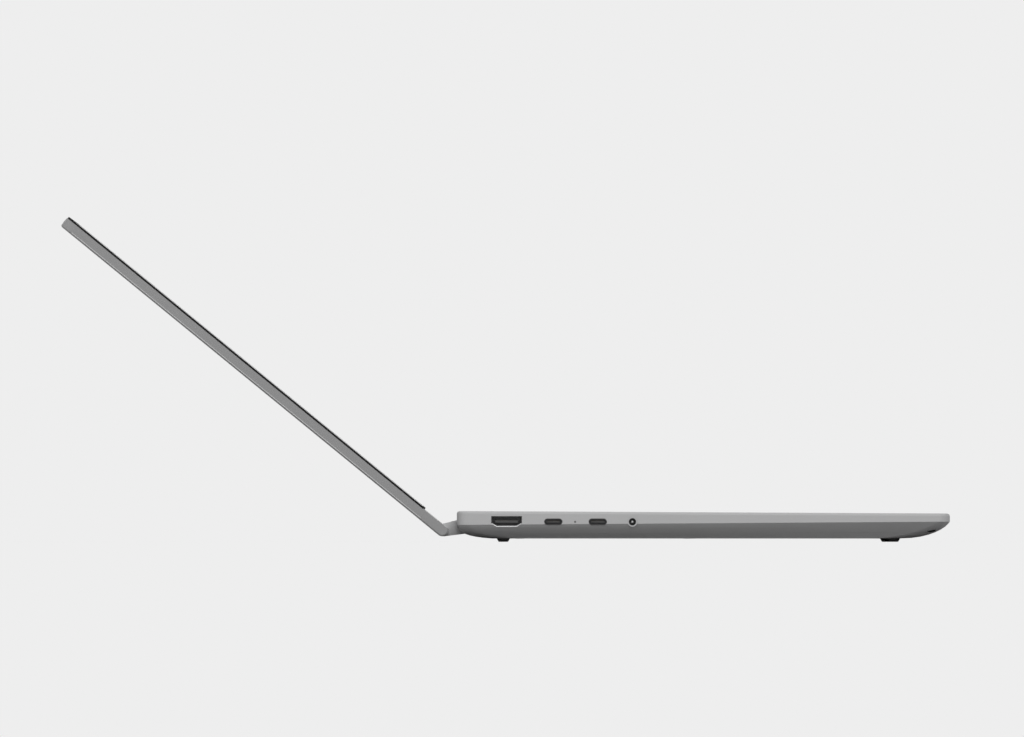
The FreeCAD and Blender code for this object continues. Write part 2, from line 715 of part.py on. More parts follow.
def lid_slab():
    """Solid form of the lid's shell: round lower edge, a step down to the screen and a chamfered back."""
    up = math.sqrt(HALF_LID**2 - STRIP_TOP**2)
    low = vec(0, -HALF_LID, 0)
    high = vec(-up, STRIP_TOP, 0)
    corners = [high, vec(GLASS_START, STRIP_TOP, 0), vec(GLASS_START, RIM_TOP, 0), vec(LID_REACH, RIM_TOP, 0),
               vec(LID_REACH, -HALF_LID, 0), low]
    edges = [Part.Arc(low, vec(-HALF_LID, 0, 0), high).toShape()]
    edges += [Part.LineSegment(a, b).toShape() for a, b in zip(corners, corners[1:])]
    slab = side_prism(Part.Wire(edges), -HALF_WIDTH, HALF_WIDTH)
    thick = LID_THICKNESS
    plan = rounded_block(-HALF_WIDTH, HALF_WIDTH, -LID_REACH, LID_REACH, -thick, thick, PLAN_RADIUS)
    slab = slab.common(plan)
    back = [e for e in slab.Edges if e.BoundBox.ZMax < WALL - HALF_LID - 1 and e.BoundBox.YMax > HALF_LID]
    return slab.makeChamfer(BACK_CHAMFER, back)


def camera_bar():
    """Raised bar in the middle of the lid's upper edge."""
    root = LID_REACH - WALL
    outline = polygon(((-BAR_HALF, root), (BAR_HALF, root), (BAR_HALF - BAR_SLOPE, BAR_REACH),
                       (BAR_SLOPE - BAR_HALF, BAR_REACH)))
    bar = Part.Face(outline).extrude(vec(0, 0, RIM_TOP + HALF_LID - BACK_CHAMFER))
    bar.translate(vec(0, 0, BACK_CHAMFER - HALF_LID))
    tip = [e for e in bar.Edges if e.BoundBox.YMin > BAR_REACH - BAR_ROUND and e.BoundBox.XLength > BAR_HALF]
    return bar.makeFillet(BAR_ROUND, tip)


def lid_back_cover():
    """Back shell with camera bar, hinge notches and room for screen, camera and hinges."""
    camera_room = block(-CAMERA_HALF - 1, CAMERA_HALF + 1, CAMERA_LOW - WALL, CAMERA_HIGH + SHAFT_ROOM,
                        LID_SKIN - HALF_LID, CAMERA_TOP + SHAFT_FIT)
    shutter_slot = block(-SHUTTER_SLOT_HALF, SHUTTER_SLOT_HALF, SHUTTER_SLOT_LOW, BAR_REACH + 1,
                         -SHUTTER_HALF_THICK - SHUTTER_TRAVEL_END, SHUTTER_HALF_THICK + SHUTTER_TRAVEL_END)
    notch = block(ARM_X - NOTCH_HALF, ARM_X + NOTCH_HALF, -LID_THICKNESS, ARM_LID_RADIUS + ARM_CLEARANCE,
                  -LID_THICKNESS, LID_THICKNESS)
    cuts = [lid_room(), camera_room, shutter_slot] + both_sides(notch)
    for room in [shaft_tunnel()] + barrel_rooms(LID_BARREL, 0, HOLLOW_START + 1):
        cuts += both_sides(room)
    return lid_slab().fuse(camera_bar()).cut(cuts)


def lid_hinge_cover():
    """Strip below the screen that covers the hinge brackets."""
    half = HALF_WIDTH - WALL
    strip = block(-half, half, HOLLOW_START, GLASS_START, STRIP_TOP - STRIP_SHEET, STRIP_TOP)
    return strip.common(lid_room())


def screen_gasket():
    """Soft black frame round the glass."""
    half = HALF_WIDTH - GASKET_INSET
    reach = LID_REACH - 1.5 * GASKET_INSET
    outer = rounded_block(-half, half, GLASS_START, reach, RIM_TOP, HALF_LID, PLAN_RADIUS)
    inner = half - GASKET
    return outer.cut(rounded_block(-inner, inner, GLASS_START + GASKET, reach - GASKET, 0, LID_THICKNESS,
                                   PLAN_RADIUS - GASKET))


def screen_glass():
    """Glass that fills the gasket."""
    half = HALF_WIDTH - GASKET_INSET - GASKET - GLASS_SLACK
    reach = LID_REACH - 1.5 * GASKET_INSET - GASKET - GLASS_SLACK
    return rounded_block(-half, half, GLASS_START + GASKET + GLASS_SLACK, reach, RIM_TOP, HALF_LID - GLASS_DROP,
                         PLAN_RADIUS - GASKET)


def display_panel():
    """Thin panel behind the glass."""
    return block(-PANEL_HALF, PANEL_HALF, PANEL_START, PANEL_END, PANEL_UNDER, RIM_TOP)


def camera_module():
    """Camera board behind the upper edge of the glass."""
    return block(-CAMERA_HALF, CAMERA_HALF, CAMERA_LOW, CAMERA_HIGH, CAMERA_UNDER, CAMERA_TOP)


def camera_shutter():
    """Small slider in the top of the camera bar, at the left end of its slot."""
    start = SHUTTER_TRAVEL_END - SHUTTER_SLOT_HALF
    return block(start, start + SHUTTER_WIDTH, SHUTTER_SLOT_LOW + SHUTTER_TRAVEL_END, BAR_REACH + SHUTTER_PROUD,
                 -SHUTTER_HALF_THICK, SHUTTER_HALF_THICK)


# Pieces sealed inside the base
FAN_X = 60.0
FAN_Y = -28.0
FAN_RADIUS = 25.0
FAN_LOW = 3.4
FAN_HIGH = 8.8
FAN_SHEET = 0.5
FAN_SLACK = 1.0
FAN_CASE_HALF = 29.0
FAN_CASE_REAR = 1.5
OUTLET_HALF = 24.0
SPINDLE = 1.0
HUB = 8.0
HUB_GAP = 0.9
BLADES = 11
BLADE_HALF = 0.3
BLADE_LEAN = 20
FIN_FRONT = 2.0
FIN_REAR = 9.2
FIN_LOW = 4.6
FIN_SHEET = 0.4
FIN_PITCH = 4.0
FIN_COUNT = 12
PIPE_START_X = -40.0
PIPE_WIDTH = 10.0
PIPE_FRONT = -32.0
PIPE_CORNER_X = 22.0
PIPE_LOW = BOARD_TOP + 1.2
PIPE_HIGH = BOARD_TOP + 3.0
BOARD_SHEET = 1.0
BOARD_REACH = 168.0
BOARD_REAR = -5.0


def fan_housing():
    """Flat casing, open below the wheel and towards the fins behind it, with the wheel's spindle."""
    half = FAN_CASE_HALF
    case = block(FAN_X - half, FAN_X + half, FAN_Y - half, FAN_CASE_REAR, FAN_LOW, FAN_HIGH)
    room = FAN_RADIUS + FAN_SLACK
    case = case.cut(block(FAN_X - room, FAN_X + room, FAN_Y - room, FAN_Y + room, 0, FAN_HIGH - FAN_SHEET))
    case = case.cut(block(FAN_X - OUTLET_HALF, FAN_X + OUTLET_HALF, FAN_Y, FIN_REAR, FAN_LOW + FAN_SHEET,
                          FAN_HIGH - FAN_SHEET))
    return case.fuse(pillar(FAN_X, FAN_Y, FAN_LOW + 2 * FAN_SHEET, FAN_HIGH, SPINDLE))


def fan_impeller():
    """Hub on the spindle with leaning blades, spaced by a loop."""
    low = FAN_LOW + HUB_GAP
    high = FAN_HIGH - FAN_SHEET - HUB_GAP / 2
    wheel = pillar(FAN_X, FAN_Y, low, high, HUB)
    for index in range(BLADES):
        blade = block(HUB - 1, FAN_RADIUS - BLADE_HALF, -BLADE_HALF, BLADE_HALF, low, high - BLADE_HALF)
        blade.rotate(vec(HUB - 1, 0, 0), Z_AXIS, BLADE_LEAN)
        blade.rotate(vec(0, 0, 0), Z_AXIS, index * 360 / BLADES)
        blade.translate(vec(FAN_X, FAN_Y, 0))
        wheel = wheel.fuse(blade)
    return wheel.cut(pillar(FAN_X, FAN_Y, 0, DECK_REAR_Z, SPINDLE + SHAFT_FIT))


def heat_sink():
    """Comb of thin fins between the fan and the rear slots."""
    start = FAN_X - OUTLET_HALF
    base = block(start, start + FIN_PITCH * (FIN_COUNT - 1), FIN_FRONT, FIN_REAR, FIN_LOW, FIN_LOW + FIN_SHEET)
    places = [start + FIN_PITCH * index for index in range(FIN_COUNT)]
    return base.fuse([block(x, x + FIN_SHEET, FIN_FRONT, FIN_REAR, FIN_LOW, FAN_HIGH) for x in places])


def heat_pipe():
    """Flat pipe from the processor, round a corner, to the top of the fins."""
    corner = PIPE_CORNER_X - PIPE_WIDTH
    over_chip = block(PIPE_START_X, PIPE_CORNER_X, PIPE_FRONT, PIPE_FRONT + PIPE_WIDTH, PIPE_LOW, PIPE_HIGH)
    back = block(corner, PIPE_CORNER_X, PIPE_FRONT, FIN_REAR, PIPE_LOW, PIPE_HIGH)
    over_fins = block(corner, FAN_X + OUTLET_HALF, FIN_FRONT, FIN_REAR, FAN_HIGH, PIPE_HIGH)
    return over_chip.fuse([back, over_fins])


def board(x0, x1, y0):
    """Circuit board with square gaps round the fastening posts."""
    half = POST_HALF + SHAFT_ROOM
    sheet = block(x0, x1, y0, BOARD_REAR, BOARD_TOP - BOARD_SHEET, BOARD_TOP)
    return sheet.cut([block(x - half, x + half, y - half, y + half, 0, DECK_REAR_Z) for x, y in POSTS])


def motherboard():
    """Main board with four memory chips."""
    chips = [block(x, x + 12, y, y + 14, BOARD_TOP, BOARD_TOP + 1) for x in (-120, -100) for y in (-40, -22)]
    return board(-BOARD_REACH, 25, -112).fuse(chips)


def card(x0, x1, height):
    """Plug-in card that lies on the main board, in one row with the other."""
    return block(x0, x1, -86, -64, BOARD_TOP, BOARD_TOP + height)


def processor():
    """Chip under the start of the heat pipe."""
    return block(PIPE_START_X + 4, PIPE_START_X + 34, PIPE_FRONT - 10, PIPE_FRONT + 20, BOARD_TOP, PIPE_LOW)


def speaker():
    """Sealed box with a sound opening, in a front corner of the base."""
    enclosure = block(98, 146, -190, -140, FAN_LOW, 9.2)
    return enclosure.cut(block(108, 136, -176, -154, 8.2, DECK_REAR_Z))


def key_groups():
    """Keys of each group together, placed on the deck."""
    groups = {}
    for name, x0, x1, y0, y1 in key_places():
        groups.setdefault(name, []).append(on_deck(keycap(x0, x1, y0, y1)))
    return {name: Part.makeCompound(keys) for name, keys in groups.items()}


# Every piece under its name, placed and written
LID_PIECES = {
    "lid_back_cover": lid_back_cover(),
    "lid_hinge_cover": lid_hinge_cover(),
    "screen_gasket": screen_gasket(),
    "screen_glass": screen_glass(),
    "display_panel": display_panel(),
    "camera_module": camera_module(),
    "camera_shutter": camera_shutter(),
}
ARM_PIECES = {"hinge_arm": hinge_arm(), "base_shaft": shaft(0), "lid_shaft": shaft(SHAFT_DISTANCE)}
PAIRS = {
    "base_hinge_bracket": base_hinge_bracket(),
    "lid_hinge_bracket": on_lid(hinge_bracket(LID_BARREL, 0, LID_LEAF)),
    "speaker": speaker(),
    "front_foot": foot(FRONT_FOOT_Y, FRONT_FOOT_INNER, FRONT_FOOT_OUTER),
}
BASE_PIECES = {
    "top_case": top_case(),
    "bottom_cover": bottom_cover(),
    "rear_foot": foot(REAR_FOOT_Y, -REAR_FOOT_HALF, REAR_FOOT_HALF),
    "keyboard_plate": keyboard_plate(),
    "touchpad": touchpad(),
    "touchpad_bracket": touchpad_bracket(),
    "hdmi_socket": left_port(hdmi_socket(), HDMI_Y, HDMI_Z, HDMI_INSET),
    "audio_jack": left_port(audio_jack(), JACK_Y, PORT_Z),
    "charge_light": left_port(charge_light(), CHARGE_LIGHT_Y, PORT_Z),
    "power_button": power_button(),
    "motherboard": motherboard(),
    "right_port_board": board(140, BOARD_REACH, -84),
    "processor": processor(),
    "heat_pipe": heat_pipe(),
    "heat_sink": heat_sink(),
    "fan_housing": fan_housing(),
    "fan_impeller": fan_impeller(),
    "battery": block(-82, 82, -192, -124, FAN_LOW, 9.2),
    "solid_state_drive": card(-120, -40, 2.2),
    "wireless_card": card(-30, 0, 2.0),
}
for node, y in USB_C_PLACES:
    BASE_PIECES[node] = left_port(usb_c_socket(), y, PORT_Z)
for node, y in USB_A_PLACES:
    BASE_PIECES[node] = right_port(usb_a_socket(), y, USB_A_Z)
BASE_PIECES.update(key_groups())

for node, shape in BASE_PIECES.items():
    save(node, shape)
for node, shape in LID_PIECES.items():
    save(node, on_lid(shape))
for node, shape in ARM_PIECES.items():
    PAIRS[node] = on_arm(shape)
for node, shape in PAIRS.items():
    save("right_" + node, shape)
    save("left_" + node, mirrored(shape))
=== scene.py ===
# %% [markdown]
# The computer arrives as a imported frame: every solid is already in its real place, in metres.
# The frame knows each box and joint, so places are read from it where that is possible. Small details are
# given in millimetres.

# %% Load the frame
import bpy
import json
import math
from mathutils import Matrix, Vector


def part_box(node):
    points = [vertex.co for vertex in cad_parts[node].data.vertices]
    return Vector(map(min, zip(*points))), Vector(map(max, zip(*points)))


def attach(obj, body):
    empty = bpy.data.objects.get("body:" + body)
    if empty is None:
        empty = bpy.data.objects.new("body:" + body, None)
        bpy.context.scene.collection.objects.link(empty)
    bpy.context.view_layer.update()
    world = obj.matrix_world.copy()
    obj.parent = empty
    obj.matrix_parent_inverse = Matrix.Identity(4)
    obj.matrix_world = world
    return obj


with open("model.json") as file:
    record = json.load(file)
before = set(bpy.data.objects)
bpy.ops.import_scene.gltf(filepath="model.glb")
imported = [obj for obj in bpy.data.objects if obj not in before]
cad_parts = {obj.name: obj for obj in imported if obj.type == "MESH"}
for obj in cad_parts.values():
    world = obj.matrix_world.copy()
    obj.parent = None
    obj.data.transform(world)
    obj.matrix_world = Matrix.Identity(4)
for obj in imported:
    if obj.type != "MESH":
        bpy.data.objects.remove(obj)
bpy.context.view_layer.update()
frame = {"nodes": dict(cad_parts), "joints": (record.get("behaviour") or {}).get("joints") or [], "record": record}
nodes = frame["nodes"]
MM = 0.001

# %% [markdown]
# Every finish here is a Principled shader with a little life in it: a slow cloud of noise shifts the colour
# by a small share, and a fine noise breaks up the gloss and the bump. Image textures could do the same,
# but noise in object space has no seams and keeps its scale on every piece.

# %% A helper for finishes
CLOUD_DETAIL = 4.0
GRAIN_DETAIL = 2.0
RAMP_START = 0.3
RAMP_END = 0.7
GLOSS_SPREAD = 0.15
BUMP_DEPTH = 0.0001


def finish(name, colour, spread, roughness, metallic=0.0, grain=2500.0, bump=0.02, cloud=30.0,
           shine=0.5):
    """Principled material whose colour drifts by a share and whose roughness and bump follow a fine grain."""
    material = bpy.data.materials.new(name)
    material.use_nodes = True
    tree = material.node_tree
    shader = tree.nodes["Principled BSDF"]
    place = tree.nodes.new("ShaderNodeTexCoord")
    slow = tree.nodes.new("ShaderNodeTexNoise")
    slow.inputs["Scale"].default_value = cloud
    slow.inputs["Detail"].default_value = CLOUD_DETAIL
    ramp = tree.nodes.new("ShaderNodeValToRGB")
    darker, lighter = ramp.color_ramp.elements
    darker.position = RAMP_START
    lighter.position = RAMP_END
    darker.color = [c * (1 - spread) for c in colour] + [1]
    lighter.color = [min(1, c * (1 + spread)) for c in colour] + [1]
    fine = tree.nodes.new("ShaderNodeTexNoise")
    fine.inputs["Scale"].default_value = grain
    fine.inputs["Detail"].default_value = GRAIN_DETAIL
    gloss = tree.nodes.new("ShaderNodeMapRange")
    gloss.inputs["To Min"].default_value = roughness * (1 - GLOSS_SPREAD)
    gloss.inputs["To Max"].default_value = min(1, roughness * (1 + GLOSS_SPREAD))
    relief = tree.nodes.new("ShaderNodeBump")
    relief.inputs["Strength"].default_value = bump
    relief.inputs["Distance"].default_value = BUMP_DEPTH
    link = tree.links.new
    link(place.outputs["Object"], slow.inputs["Vector"])
    link(place.outputs["Object"], fine.inputs["Vector"])
    link(slow.outputs["Fac"], ramp.inputs["Fac"])
    link(ramp.outputs["Color"], shader.inputs["Base Color"])
    link(fine.outputs["Fac"], gloss.inputs["Value"])
    link(gloss.outputs["Result"], shader.inputs["Roughness"])
    link(fine.outputs["Fac"], relief.inputs["Height"])
    link(relief.outputs["Normal"], shader.inputs["Normal"])
    shader.inputs["Metallic"].default_value = metallic
    shader.inputs["Specular IOR Level"].default_value = shine
    return material


# %% [markdown]
# The housing is bead blasted, anodised aluminium in a soft neutral grey. Pure metal would only mirror the
# room, so it is part metal and part dye, as anodising is. The lid gets a darker grey, painted shade, and the
# hinge arms a lighter one, painted light, so that each renders at about the grey it has in the photo. Keys,
# rubber, glass and sockets get finishes of their own.

# %% The finishes
def grey(level):
    """A neutral grey with the faintest touch of blue."""
    return (level, level, level * 1.005)


# Each line gives a name, a colour, the share by which the colour drifts, and the roughness.
housing = finish("anodised_housing", grey(0.40), 0.02, 0.5, metallic=0.15, grain=900, bump=0.015)
# Painted shade: the lid is the housing's metal, and this darker grey stands in for light falling off along it.
lid_painted_shade = finish("anodised_lid_painted_shade", grey(0.255), 0.02, 0.5, metallic=0.15, grain=900, bump=0.015)
# Painted light: the arms' lighter grey stands in for the light and sheen that fall on them.
hinge_painted_light = finish("hinge_painted_light", grey(0.63), 0.03, 0.45, metallic=0.15, grain=900, bump=0.015)
key_plastic = finish("key_plastic", grey(0.115), 0.05, 0.55, grain=6000, bump=0.06)
pad_glass = finish("frosted_pad", grey(0.36), 0.015, 0.35, grain=7000, bump=0.01)
screen_black = finish("screen_black", (0.006, 0.006, 0.007), 0.2, 0.06, grain=300, bump=0.0, shine=0.2)
screen_area = finish("screen_area", (0.012, 0.012, 0.014), 0.1, 0.09, grain=9000, bump=0.004, shine=0.2)
gasket_rubber = finish("gasket_rubber", grey(0.010), 0.1, 0.7, grain=5000, bump=0.05, shine=0.2)
foot_rubber = finish("foot_rubber", grey(0.30), 0.08, 0.7, grain=3500, bump=0.12)
dark_plate = finish("dark_plated_socket", grey(0.09), 0.1, 0.35, metallic=0.7, grain=3000, bump=0.03)
black_plastic = finish("black_plastic", grey(0.012), 0.1, 0.5, grain=4000, bump=0.06)
steel = finish("brushed_steel", (0.55, 0.55, 0.56), 0.05, 0.35, metallic=1.0, grain=1500, bump=0.05)
copper = finish("bare_copper", (0.72, 0.38, 0.24), 0.08, 0.3, metallic=1.0, grain=2000, bump=0.03)
board_green = finish("solder_mask", (0.02, 0.09, 0.05), 0.15, 0.4, grain=1200, bump=0.05, cloud=90)
battery_film = finish("battery_film", grey(0.03), 0.1, 0.45, grain=2500, bump=0.04)
gold = finish("contact_gold", (0.30, 0.23, 0.12), 0.05, 0.3, metallic=1.0, grain=2000, bump=0.02)
# Painted highlight, for the bright rim in the widest mouth and the glint in the jack.
painted_highlight_edge = finish("bevel_painted_highlight", grey(0.80), 0.03, 0.3, metallic=0.2, grain=4000, bump=0.02)
# Painted highlight for the bright hairline on the lid's side.
lid_highlight_line = finish("lid_highlight_line", grey(0.52), 0.03, 0.3, metallic=0.2, grain=4000, bump=0.02)
legend_ink = finish("legend_ink", grey(0.62), 0.02, 0.6, grain=6000, bump=0.0)
light_pipe = finish("light_pipe", grey(0.10), 0.02, 0.3, grain=3000, bump=0.02)
FINISH_OF_SLOT = {
    "housing": housing, "hinge_metal": hinge_painted_light, "steel": steel, "socket_metal": dark_plate,
    "black_plastic": black_plastic, "keycap": key_plastic, "touchpad_glass": pad_glass,
    "screen_glass": screen_black, "rubber": foot_rubber, "gasket": gasket_rubber, "panel": black_plastic,
    "circuit_board": board_green, "copper": copper, "battery_pack": battery_film, "light": light_pipe,
}
for part in frame["record"]["subparts"]:
    mesh = nodes[part["node"]].data
    mesh.materials.clear()
    mesh.materials.append(FINISH_OF_SLOT[part["material_slot"]])
# The lid's back cover takes the darker grey of painted shade.
nodes["lid_back_cover"].data.materials[0] = lid_painted_shade
nodes["audio_jack"].data.materials[0] = housing
print("finishes", len(bpy.data.materials))

# %% [markdown]
# Small helpers turn lists of points into meshes that ride on a named body. Primitive operators could make
# them too, but building from data needs no selection and never depends on the viewport's state.

# %% Mesh helpers
def piece(name, points, faces, body, material, smooth=False):
    """A mesh piece that moves with one body of the computer."""
    mesh = bpy.data.meshes.new(name)
    mesh.from_pydata([tuple(p) for p in points], [], faces)
    mesh.materials.append(material)
    for polygon in mesh.polygons:
        polygon.use_smooth = smooth
    made = bpy.data.objects.new(name, mesh)
    bpy.context.scene.collection.objects.link(made)
    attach(made, body)


def circle(sides, radius):
    """The points of a circle, each as two distances from its centre."""
    turns = [math.tau * side / sides for side in range(sides)]
    return [(radius * math.cos(turn), radius * math.sin(turn)) for turn in turns]


BLOCK_FACES = ((0, 1, 3, 2), (4, 6, 7, 5), (0, 4, 5, 1), (2, 3, 7, 6), (0, 2, 6, 4), (1, 5, 7, 3))


def add_block(points, faces, low, high):
    """Append one box to lists of points and faces."""
    first = len(points)
    for x in (low[0], high[0]):
        for y in (low[1], high[1]):
            for z in (low[2], high[2]):
                points.append(Vector((x, y, z)))
    for corners in BLOCK_FACES:
        faces.append(tuple(first + corner for corner in corners))


# %% [markdown]
# The deck slopes by a fraction of a degree and the lid leans back. Two matrices carry flat drawings onto
# them: on the deck z is zero at its surface, and on the lid it is zero halfway through the lid's thickness.
# The deck's slope and the lid's axis come from the joints; the lean is the angle measured in the photo.

# %% Deck and lid planes
JOINT = {joint["name"]: joint for joint in frame["joints"]}
key_axis = Vector(JOINT["space_bar_press"]["axis"])
deck_tilt = math.atan2(key_axis.y, -key_axis.z)
case_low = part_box("top_case")[0]
DECK_FRONT_HEIGHT = 13.9 * MM
deck = (Matrix.Translation((0, case_low[1], DECK_FRONT_HEIGHT)) @ Matrix.Rotation(deck_tilt, 4, "X")
        @ Matrix.Translation((0, -case_low[1], 0)))
DEGREES_FROM_UPRIGHT = 50.73
LID_LEAN = math.radians(90 - DEGREES_FROM_UPRIGHT)
HALF_LID = 3.05 * MM
lid = Matrix.Translation(JOINT["lid_hinge"]["pos_m"]) @ Matrix.Rotation(LID_LEAN, 4, "X")
print("deck tilt", round(math.degrees(deck_tilt), 3), "lid lean", round(math.degrees(LID_LEAN), 2))

# %% [markdown]
# Keycaps are moulded with a soft edge all round. The solids are sharp there, so a narrow bevel modifier is
# enough to catch the light along every rim, on the touchpad and the hinge arms too.

# %% Soft edges
KEY_NODES = ("function_keys", "number_keys", "upper_letter_keys", "home_letter_keys", "lower_letter_keys",
             "bottom_row_keys", "space_bar", "enter_key")
ARM_NODES = ("left_hinge_arm", "right_hinge_arm")
KEY_BEVEL = 0.5 * MM
ARM_BEVEL = 0.4 * MM
PAD_BEVEL = 0.12 * MM
BEVEL_SEGMENTS = 3
BEVEL_ANGLE = math.radians(50)


def soften(name, width):
    """Round the sharp edges of one solid with a modifier."""
    bevel = nodes[name].modifiers.new("soft_edge", "BEVEL")
    bevel.width = width
    bevel.segments = BEVEL_SEGMENTS
    bevel.limit_method = "ANGLE"
    bevel.angle_limit = BEVEL_ANGLE


for name in KEY_NODES:
    soften(name, KEY_BEVEL)
for name in ARM_NODES:
    soften(name, ARM_BEVEL)
soften("touchpad", PAD_BEVEL)
print("softened", len(KEY_NODES) + len(ARM_NODES) + 1, "nodes")

# %% [markdown]
# The keys of four rows carry one plain printed character each. They are generic, so letters, figures and
# common signs are enough. A text curve turned into a mesh gives crisp edges, and lies a hair above the key.

# %% Key legends
PITCH = 19.0 * MM
LEGEND_HEIGHT = -0.08 * MM
LETTER_SIZE = 5.0 * MM
CURVE_STEPS = 2
BLOCK_LEFT = -7.5 * PITCH
# Each row gives its node, the y of its middle in millimetres, its first column and its characters.
ROWS = (
    ("number_keys", -32.25, 0.0, "`1234567890-="),
    ("upper_letter_keys", -50.75, 1.5, "QWERTYUIOP[]"),
    ("home_letter_keys", -69.25, 1.75, "ASDFGHJKL;'"),
    ("lower_letter_keys", -87.75, 2.25, "ZXCVBNM,./"),
)


def legend(text, name, x, y, body):
    """One printed character, flat on its key."""
    curve = bpy.data.curves.new(name, "FONT")
    curve.body = text
    curve.size = LETTER_SIZE
    curve.align_x = "CENTER"
    curve.align_y = "CENTER"
    curve.resolution_u = CURVE_STEPS
    holder = bpy.data.objects.new(name + "_curve", curve)
    bpy.context.scene.collection.objects.link(holder)
    bpy.context.view_layer.update()
    mesh = bpy.data.meshes.new_from_object(holder.evaluated_get(bpy.context.evaluated_depsgraph_get()))
    bpy.data.objects.remove(holder)
    mesh.transform(deck @ Matrix.Translation((x, y, LEGEND_HEIGHT)))
    mesh.materials.clear()
    mesh.materials.append(legend_ink)
    made = bpy.data.objects.new(name, mesh)
    bpy.context.scene.collection.objects.link(made)
    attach(made, body)


for row, y, start, letters in ROWS:
    for index, letter in enumerate(letters):
        x = BLOCK_LEFT + (start + index + 0.5) * PITCH
        legend(letter, row + "_legend_" + str(index), x, y * MM, row + "_body")
print("legend rows", len(ROWS))

# %% [markdown]
# Sound comes out beside the keyboard through two fields of fine holes. Real holes in the solid would cost
# thousands of faces, so each hole is a small dark disc of painted shade that lies on the deck in a staggered grid.

# %% Speaker grilles
HOLE_SIDES = 8
HOLE_RADIUS = 0.42 * MM
HOLE_LIFT = 0.02 * MM
HOLE_STEP = 1.5 * MM
ROW_STEP = HOLE_STEP * 0.87
GRILLE_COLUMNS = 8
GRILLE_ROWS = 74
GRILLE_REAR = -15.0 * MM
GRILLES = {"left_grille_holes": -166.5 * MM, "right_grille_holes": 155.5 * MM}


def grille(name, left_end):
    """A staggered field of small dark discs, painted shade for holes."""
    points = []
    faces = []
    for row in range(GRILLE_ROWS):
        for column in range(GRILLE_COLUMNS):
            x = left_end + (column + 0.5 * (row % 2)) * HOLE_STEP
            y = GRILLE_REAR - row * ROW_STEP
            first = len(points)
            for across, along in circle(HOLE_SIDES, HOLE_RADIUS):
                points.append(deck @ Vector((x + across, y + along, HOLE_LIFT)))
            faces.append(tuple(range(first, first + HOLE_SIDES)))
    piece(name, points, faces, "base", black_plastic)


for name, left_end in GRILLES.items():
    grille(name, left_end)
print("grille holes", len(GRILLES) * GRILLE_COLUMNS * GRILLE_ROWS)

# %% [markdown]
# Behind the black glass the display's own area is a little greyer than its border, and above it sits the
# camera: a dark lens in a ring. They lie on the glass, higher by less than the eye can see.

# %% Screen area and camera
GLASS_SUNK = 0.1 * MM
GLASS_FACE = HALF_LID - GLASS_SUNK
AREA_LIFT = 0.02 * MM
AREA_HALF = 172.3 * MM
AREA_LOW = 18.5 * MM
AREA_HIGH = AREA_LOW + 215.4 * MM
AREA_CORNERS = ((-AREA_HALF, AREA_LOW), (AREA_HALF, AREA_LOW), (AREA_HALF, AREA_HIGH),
                (-AREA_HALF, AREA_HIGH))
area = [lid @ Vector((x, y, GLASS_FACE + AREA_LIFT)) for x, y in AREA_CORNERS]
piece("display_area", area, [(0, 1, 2, 3)], "lid", screen_area)

DISC_SIDES = 32
SHOULDER_REACH = 0.6
SHOULDER_RISE = 0.8
CAMERA_Y = 235.9 * MM
# Each disc gives its x, its lift above the glass, its radius and the rise of its dome, in millimetres.
CAMERA_DISCS = (
    ("camera_ring", 0, 0, 1.9, 0.03, gasket_rubber, "gasket"),
    ("camera_lens", 0, 0.02, 1.1, 0.06, screen_black, "screen_glass"),
    ("camera_light", 9, 0, 0.5, 0.03, dark_plate, "socket_metal"),
)


def disc(name, centre, radius, rise, material):
    """A low domed disc on the lid's glass."""
    sides = DISC_SIDES
    points = [lid @ (centre + Vector((0, 0, rise)))]
    for reach, height in ((SHOULDER_REACH, rise * SHOULDER_RISE), (1.0, 0.0)):
        for across, along in circle(sides, radius * reach):
            points.append(lid @ (centre + Vector((across, along, height))))
    faces = []
    for side in range(sides):
        faces.append((0, 1 + side, 1 + (side + 1) % sides))
    for side in range(sides):
        following = (side + 1) % sides
        faces.append((1 + side, 1 + sides + side, 1 + sides + following, 1 + following))
    piece(name, points, faces, "lid", material, smooth=True)


for name, x, lift, radius, rise, material, slot in CAMERA_DISCS:
    centre = Vector((x * MM, CAMERA_Y, GLASS_FACE + lift * MM))
    disc(name, centre, radius * MM, rise * MM, material)
print("camera at", CAMERA_Y)

# %% [markdown]
# The lid's side shows a bright hairline just before its back bevel, a painted highlight on the metal. A line that
# thin is drawn as a strip of its own on each side, a hundredth of a millimetre proud of the metal.

# %% Painted highlight line on the lid
LINE_LOW = -2.2 * MM
LINE_HIGH = -1.95 * MM
LINE_START = 12.0 * MM
LINE_END = 233.0 * MM
LINE_PROUD = 0.01 * MM
LINE_CORNERS = ((LINE_START, LINE_LOW), (LINE_END, LINE_LOW), (LINE_END, LINE_HIGH), (LINE_START, LINE_HIGH))
for name, sign in (("left_lid_painted_highlight", -1), ("right_lid_painted_highlight", 1)):
    line_x = sign * (-case_low[0] + LINE_PROUD)
    points = [lid @ Vector((line_x, y, z)) for y, z in LINE_CORNERS]
    piece(name, points, [(0, 1, 2, 3)], "lid", lid_highlight_line)
print("lid lines from", LINE_START, "to", LINE_END)

# %% [markdown]
# Each flat socket in the side walls has a row of gold contacts on its tongue. A box per finger is enough,
# because little of it shows through the mouth.

# %% Socket contacts
CONTACT_START = 2.0 * MM
CONTACT_HALF = 0.14 * MM
CONTACT_THICK = 0.06 * MM
# Each row gives its name, its socket, the number of fingers, and their spread, height and end in millimetres.
CONTACT_ROWS = (
    ("hdmi_contacts", "hdmi_socket", 10, 9.0, 10.49, 8),
    ("usb_c_socket_rear_contacts", "usb_c_socket_rear", 12, 5.5, 10.16, 6),
    ("usb_c_socket_front_contacts", "usb_c_socket_front", 12, 5.5, 10.16, 6),
    ("usb_a_socket_rear_contacts", "usb_a_socket_rear", 4, 7.0, 10.36, 9),
    ("usb_a_socket_front_contacts", "usb_a_socket_front", 4, 7.0, 10.36, 9),
)


